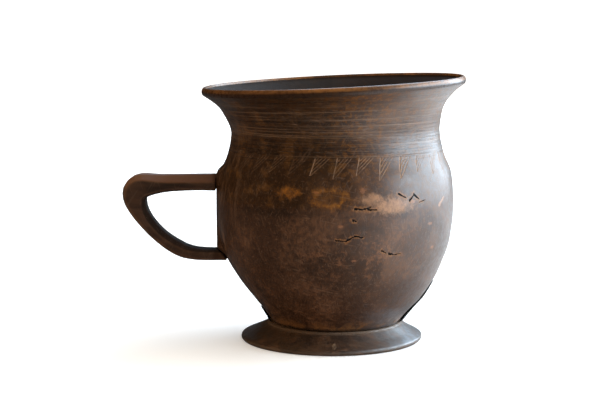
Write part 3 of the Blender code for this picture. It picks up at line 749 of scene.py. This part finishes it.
def foot_material():
    """Dark waxed wood, yellower on the left, with its ledge worn pale; its lower edge is
    painted pale as a highlight.
    """
    material, tree, shader = new_material("foot_wood_waxed")
    at = object_place(tree)
    _, angle, height = round_the_bowl(tree, at)
    fibres = group(tree, grain, {"At": at, "Fibres": (0.12, 1.0, 1.0), "Fineness": 800.0})
    cloud = noise(tree, at, 60.0, 4.0, 0.6, 0.2)
    mottle = noise(tree, at, 260.0, 4.0, 0.65)
    yellow = times(tree, ramp(tree, angle, math.radians(-2), math.radians(-35)),
                   ramp(tree, cloud, 0.42, 0.60))
    ledge = ramp(tree, height, FOOT_TOP - 0.0013, FOOT_TOP - 0.0004)
    edge = times(tree, ramp(tree, height, 0.0021, 0.0010),
                 ramp(tree, mottle, 0.35, 0.60, 0.4, 1.0))
    colour = tint(tree, ramp(tree, fibres["Fibre"], 0.36, 0.62), (0.028, 0.0130, 0.0060),
                  (0.072, 0.0350, 0.0160))
    colour = painted(
        tree, colour,
        (yellow, 0.45, (0.085, 0.045, 0.010)),
        (ramp(tree, cloud, 0.46, 0.60), 0.60, (0.022, 0.0095, 0.0045)),
        (ramp(tree, mottle, 0.48, 0.68), 0.45, (0.140, 0.060, 0.024)),
        (ledge, 0.45, (0.160, 0.085, 0.035)),
        # the pale lower edge is a painted highlight along the rim
        (edge, 0.55, (0.150, 0.098, 0.066)),
        (fibres["Scratches"], 0.25, (0.140, 0.105, 0.080)))
    tree.links.new(colour, shader.inputs["Base Color"])
    gloss = calc(tree, "ADD", 0.26, times(tree, mottle, 0.36))
    gloss = calc(tree, "ADD", gloss, part_of(tree, edge, 0.15))
    gloss = calc(tree, "ADD", gloss, part_of(tree, ledge, 0.35))
    tree.links.new(gloss, shader.inputs["Roughness"])
    relief = calc(tree, "ADD", times(tree, fibres["Height"], 0.20), times(tree, mottle, 0.70))
    give_relief(tree, shader, relief, 0.6, 0.00025)
    shader.inputs["Specular IOR Level"].default_value = 0.75
    tree.links.new(ramp(tree, mottle, 0.38, 0.60, 1.0, 0.45), shader.inputs["Coat Weight"])
    shader.inputs["Coat Roughness"].default_value = 0.40
    return material


def foot_outline():
    """The foot's section from the top of its hole out, down and back, as a closed line."""
    slope_top = (COLLAR, FOOT_TOP - FOOT_ROUND)
    slope_end = (FOOT_WIDE - FOOT_ROUND, FOOT_EDGE + FOOT_ROUND)
    middle = (slope_top[0] + (slope_end[0] - slope_top[0]) * 0.45,
              slope_top[1] + (slope_end[1] - slope_top[1]) * 0.52)
    top = [(FOOT_HOLE, FOOT_TOP), (COLLAR - FOOT_ROUND, FOOT_TOP)]
    side = smooth_line([top[-1], slope_top, middle, slope_end, (FOOT_WIDE, FOOT_EDGE),
                        (FOOT_WIDE, FOOT_ROUND), (FOOT_WIDE - FOOT_ROUND, 0.0)],
                       lambda height: 0.0004)
    side = [(r - SKIN, max(z, 0.0)) for r, z in side]
    return [top[0], *side, (FOOT_HOLE, 0.0), top[0]]


foot_points = foot_outline()
foot = turned("foot_turned", outline_mesh("foot_outline", foot_points, FOOT_LEAN,
                                         [0.0] * len(foot_points)), lathe,
              steps_round=FOOT_STEPS, rim_rise=0.0, rim_from=1.0, rim_to=2.0, seat=SEAT,
              seat_width=0.0, seat_bottom=1.0, seat_top=2.0, seat_run_out=0.001,
              wood=foot_material())
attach(foot, "root")
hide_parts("foot")

# ---- Handle ----------------------------------------------------------------------------
# The handle is whittled from a bent branch: eight-sided, with flat knife facets and
# arrises rubbed round by the hand.  Its two tenons go through the bowl's wall.
handle_low, handle_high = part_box("handle")
FACET = 0.00045                     # how coarse the carved surface is modelled


def softened(name, node, voxel, passes, scale, depth, seed):
    """A CAD piece with its arrises worn round and its surface left uneven by the tool.
    It marks how sharp each place is, so that the colour can wear through there."""
    source = bmesh.new()
    source.from_mesh(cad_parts[node].data)
    bmesh.ops.remove_doubles(source, verts=source.verts, dist=0.000005)
    mesh = bpy.data.meshes.new(name)
    source.to_mesh(mesh)
    source.free()
    piece = bpy.data.objects.new(name, mesh)
    bpy.context.scene.collection.objects.link(piece)
    remesh = piece.modifiers.new("remesh", "REMESH")
    remesh.mode = "VOXEL"
    remesh.voxel_size = voxel
    view = bpy.context.evaluated_depsgraph_get()
    piece.data = bpy.data.meshes.new_from_object(piece.evaluated_get(view), depsgraph=view)
    piece.modifiers.remove(remesh)
    mesh = piece.data
    edges = np.empty(len(mesh.edges) * 2, dtype=np.int64)
    mesh.edges.foreach_get("vertices", edges)
    edges = edges.reshape(-1, 2)
    count = np.bincount(edges.ravel(), minlength=len(mesh.vertices))[:, None]

    def average(values):
        total = np.zeros_like(values)
        np.add.at(total, edges[:, 0], values[edges[:, 1]])
        np.add.at(total, edges[:, 1], values[edges[:, 0]])
        return total / np.maximum(count, 1)

    place = points_of(mesh)
    for _ in range(passes):
        place = place * 0.4 + average(place) * 0.6
    broad = place
    for _ in range(12):
        broad = average(broad)
    mesh.vertices.foreach_set("co", place.ravel())
    mesh.update()
    normal = points_of(mesh, "normal")
    sharp = ((place - broad) * normal).sum(axis=1)
    rng = np.random.default_rng(seed)
    tool = np.zeros(len(place))
    for _ in range(6):
        way = rng.normal(size=3)
        tool += np.sin(place @ (way / np.linalg.norm(way)) * scale * rng.uniform(0.6, 1.7)
                       + rng.uniform(0, 6.3)) / 6
    place = place - normal * (depth * (0.5 + 0.5 * tool))[:, None]
    mesh.vertices.foreach_set("co", place.ravel())
    give_marks(mesh, "arris", np.clip(sharp / 0.00035, -1.0, 1.0))
    mesh.shade_smooth()
    mesh.materials.clear()
    return piece


def handle_material():
    """Dark reddish wood, paler where the arrises are rubbed, with a painted highlight on its
    top and painted shade on the inside of its loop.
    """
    material, tree, shader = new_material("handle_wood_carved")
    at = object_place(tree)
    fibres = group(tree, grain, {"At": at, "Fibres": (0.10, 1.0, 0.45), "Fineness": 700.0})
    cloud = noise(tree, at, 70.0, 4.0, 0.6, 0.3)
    mottle = noise(tree, at, 300.0, 4.0, 0.65)
    arris, inner = mark_on(tree, "arris"), mark_on(tree, "inner")
    apart = put(tree, "ShaderNodeSeparateXYZ", {0: at}).outputs
    upward = put(tree, "ShaderNodeSeparateXYZ", {
        0: put(tree, "ShaderNodeNewGeometry").outputs["Normal"]}).outputs["Z"]
    # faces turned up on the upper arm are painted paler and more orange: a painted highlight
    top = times(tree, ramp(tree, upward, 0.15, 0.6), ramp(tree, apart["Z"], 0.066, 0.070))
    rubbed = times(tree, ramp(tree, arris, 0.20, 0.75), ramp(tree, mottle, 0.32, 0.55))
    root = ramp(tree, apart["X"], -0.0570, -0.0545)
    colour = tint(tree, ramp(tree, fibres["Fibre"], 0.36, 0.62), (0.028, 0.0125, 0.0065),
                  (0.078, 0.0360, 0.0190))
    colour = painted(
        tree, colour,
        (ramp(tree, cloud, 0.45, 0.62), 0.55, (0.082, 0.038, 0.019)),
        (top, 0.85, (0.160, 0.066, 0.026)),
        (rubbed, 0.42, (0.165, 0.083, 0.042)),
        (ramp(tree, arris, -0.15, -0.6), 0.60, (0.012, 0.007, 0.005)),
        (root, 0.50, (0.020, 0.009, 0.004)),
        # the dark inside of the loop is a painted shade
        (inner, 0.75, (0.014, 0.007, 0.004)),
        (fibres["Scratches"], 0.22, (0.150, 0.100, 0.070)))
    tree.links.new(colour, shader.inputs["Base Color"])
    dull = calc(tree, "MAXIMUM", part_of(tree, inner, 0.5), part_of(tree, root, 0.5))
    gloss = calc(tree, "ADD", 0.34, times(tree, mottle, 0.24))
    tree.links.new(calc(tree, "ADD", gloss, dull), shader.inputs["Roughness"])
    relief = calc(tree, "ADD", times(tree, fibres["Height"], 0.35), times(tree, mottle, 0.35))
    give_relief(tree, shader, relief, 0.7, 0.00025)
    return material


handle = softened("handle_carved", "handle", voxel=FACET, passes=2, scale=420.0,
                  depth=0.00022, seed=5)
# the inside of the loop is painted dark, a painted shade where it faces the belly, and
# is left dull where no hand rubs it
loop_middle = np.array([(handle_low.x + bowl_low.x) / 2, 0.0,
                        (handle_low.z + handle_high.z) / 2 + 0.004])
to_middle = (loop_middle - points_of(handle.data)) * (1.0, 0.0, 1.0)
to_middle /= np.linalg.norm(to_middle, axis=1)[:, None]
facing = (points_of(handle.data, "normal") * to_middle).sum(axis=1)
give_marks(handle.data, "inner", np.clip((facing - 0.15) / 0.4, 0.0, 1.0))
handle.data.materials.append(handle_material())
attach(handle, "root")
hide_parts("handle")

# ---- Wedges and pegs -------------------------------------------------------------------
# Two wedges spread the tenons from inside the bowl, and three pegs lock the foot to the
# spigot.  They are split from pale wood and cut flush, so only their end grain shows.
def end_grain_material(name, dark, light, dullness):
    """Split wood seen from its end: fine fibres, dark pores and darker patches."""
    material, tree, shader = new_material(name)
    at = object_place(tree)
    fibres = group(tree, grain, {"At": at, "Fibres": (1.0, 1.0, 1.0), "Fineness": 1500.0})
    mottle = noise(tree, at, 900.0, 3.0, 0.6)
    colour = tint(tree, ramp(tree, fibres["Fibre"], 0.38, 0.62), dark, light)
    colour = painted(tree, colour, (fibres["Pores"], 0.7, (0.030, 0.018, 0.010)),
                     (ramp(tree, mottle, 0.5, 0.7), 0.5, dark))
    tree.links.new(colour, shader.inputs["Base Color"])
    tree.links.new(calc(tree, "ADD", dullness, times(tree, mottle, 0.2)),
                   shader.inputs["Roughness"])
    give_relief(tree, shader, fibres["Height"], 0.5, 0.0002)
    return material


# the wedges have gone dark with the inside of the bowl, the pegs are still pale
wedge_wood = end_grain_material("wedge_end_grain", (0.016, 0.009, 0.005),
                                (0.050, 0.029, 0.016), 0.78)
peg_wood = end_grain_material("peg_end_grain", (0.085, 0.048, 0.026),
                              (0.210, 0.135, 0.080), 0.52)
for wood, nodes in ((wedge_wood, ("handle_wedge_upper", "handle_wedge_lower")),
                    (peg_wood, ("foot_peg_front", "foot_peg_right", "foot_peg_left"))):
    for node in nodes:
        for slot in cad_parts[node].material_slots:
            slot.material = wood

# ---- Black bead: painted shade in the crevice ------------------------------------------
# A lumpy black bead runs round the back, in the crevice between belly and foot: a dark
# piece that stands in for the shade in that crevice, given the look of set pine pitch.
def crevice_shade_material():
    """Painted shade with the look of set pitch: black, glossy where it ran and dull where dust
    has stuck.
    """
    material, tree, shader = new_material("pitch_black_set")
    at = object_place(tree)
    dust = noise(tree, at, 420.0, 5.0, 0.65)
    lumps = noise(tree, at, 160.0, 3.0, 0.5)
    colour = tint(tree, part_of(tree, ramp(tree, dust, 0.50, 0.75), 0.35),
                  (0.0040, 0.0030, 0.0025), (0.030, 0.020, 0.013))
    tree.links.new(colour, shader.inputs["Base Color"])
    tree.links.new(ramp(tree, dust, 0.40, 0.70, 0.45, 0.80), shader.inputs["Roughness"])
    shader.inputs["Specular IOR Level"].default_value = 0.15
    give_relief(tree, shader, lumps, 0.6, 0.0004)
    return material


# the black bead is a painted shade for the crevice between belly and foot
pitch = softened("pitch_bead", "pitch_seal", voxel=0.00030, passes=2, scale=900.0,
                 depth=0.00010, seed=9)
pitch.data.materials.append(crevice_shade_material())
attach(pitch, "root")
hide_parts("pitch_seal")

# ---- Table, light and camera -----------------------------------------------------------
# A plain white table sweeps up into a backdrop.  A large window stands to the right, with
# a part of it before and a part behind the mug; a lamp on the left and the ceiling are warm.
def sweep():
    """The table and backdrop as one bent sheet, lit up white away from the mug."""
    section = [(-2.4, 0.0), (2.6, 0.0)]
    section += [(2.6 + 0.9 * math.sin(a), 0.9 - 0.9 * math.cos(a))
                for a in np.linspace(0.1, math.pi / 2, 14)]
    section.append((3.5, 5.0))
    sheet = bmesh.new()
    left, right = [[sheet.verts.new((x, y, z - 0.0001)) for y, z in section]
                   for x in (-5.0, 5.0)]
    for index in range(len(section) - 1):
        sheet.faces.new([left[index], right[index], right[index + 1], left[index + 1]])
    mesh = bpy.data.meshes.new("table")
    sheet.to_mesh(mesh)
    sheet.free()
    mesh.shade_smooth()
    table = bpy.data.objects.new("table", mesh)
    bpy.context.scene.collection.objects.link(table)
    material, tree, shader = new_material("table_white")
    rays = put(tree, "ShaderNodeLightPath").outputs
    seen = rays["Is Camera Ray"]
    away = put(tree, "ShaderNodeVectorMath", {0: object_place(tree)},
               operation="LENGTH").outputs["Value"]
    # the table shows white, but the wood is lit by and mirrors only the part close to it
    near = times(tree, ramp(tree, away, 0.40, 0.08), rays["Is Diffuse Ray"])
    across = put(tree, "ShaderNodeSeparateXYZ", {0: object_place(tree)}).outputs["X"]
    window_side = times(tree, ramp(tree, across, 0.0, 0.12), ramp(tree, away, 0.80, 0.25))
    bounced = tint(tree, window_side, (0.04, 0.036, 0.032), (0.90, 0.90, 0.90))
    bounced = tint(tree, near, bounced, (0.78, 0.60, 0.46))
    tree.links.new(tint(tree, seen, bounced, (0.86, 0.86, 0.86)),
                   shader.inputs["Base Color"])
    glow = times(tree, seen, ramp(tree, away, 0.25, 1.5, 0.30, 1.0))
    tree.links.new(glow, shader.inputs["Emission Strength"])
    shader.inputs["Emission Color"].default_value = (1.0, 1.0, 1.0, 1.0)
    shader.inputs["Roughness"].default_value = 0.8
    mesh.materials.append(material)


def lamp(name, place, aim, size, power, colour, mirrored=True):
    """A soft light at place, facing aim; only a mirrored one shows in the wood's polish."""
    light = bpy.data.lights.new(name, "AREA")
    light.shape = "RECTANGLE"
    light.size, light.size_y = size
    light.energy = power
    light.color = colour
    lit = bpy.data.objects.new(name, light)
    lit.location = place
    lit.rotation_euler = (Vector(aim) - Vector(place)).to_track_quat("-Z", "Y").to_euler()
    lit.visible_glossy = mirrored
    bpy.context.scene.collection.objects.link(lit)


sweep()
middle = (0.0, 0.0, 0.07)
lamp("window", (1.11, 0.24, 0.40), middle, (1.9, 0.85), 42.0, (0.70, 0.86, 1.0))
lamp("window_front", (1.00, -0.45, 0.22), middle, (0.8, 0.6), 4.4, (0.74, 0.88, 1.0))
lamp("skylight", (0.55, 0.20, 1.00), middle, (0.7, 0.7), 5.0, (0.72, 0.87, 1.0))
lamp("window_behind", (0.45, 1.15, 1.05), middle, (1.3, 1.0), 15.0, (0.58, 0.79, 1.0))
lamp("warm_left", (-1.3, 0.05, 0.45), middle, (0.8, 0.8), 4.0, (1.0, 0.76, 0.48), False)
lamp("ceiling", (-0.1, -0.1, 1.6), middle, (1.2, 1.2), 7.5, (1.0, 0.88, 0.72), False)
world = bpy.data.worlds.new("studio")
bpy.context.scene.world = world
world.use_nodes = True
sky = world.node_tree
rays = put(sky, "ShaderNodeLightPath").outputs
room = tint(sky, rays["Is Diffuse Ray"], (0.020, 0.017, 0.014), (0.54, 0.42, 0.30))
sky.links.new(tint(sky, rays["Is Camera Ray"], room, (1.0, 1.0, 1.0)),
              sky.nodes["Background"].inputs["Color"])
bpy.context.scene.view_settings.view_transform = "Standard"

CAMERA_PLACE = (-0.016, -0.724, 0.1542)
LOOKING_DOWN = 7.11                 # degrees
camera_data = bpy.data.cameras.new("camera")
camera_data.sensor_width = 36.0
camera_data.lens = 95.4
camera = bpy.data.objects.new("camera", camera_data)
camera.location = CAMERA_PLACE
camera.rotation_euler = (math.radians(90.0 - LOOKING_DOWN), 0.0, 0.0)
bpy.context.scene.collection.objects.link(camera)
bpy.context.scene.camera = camera
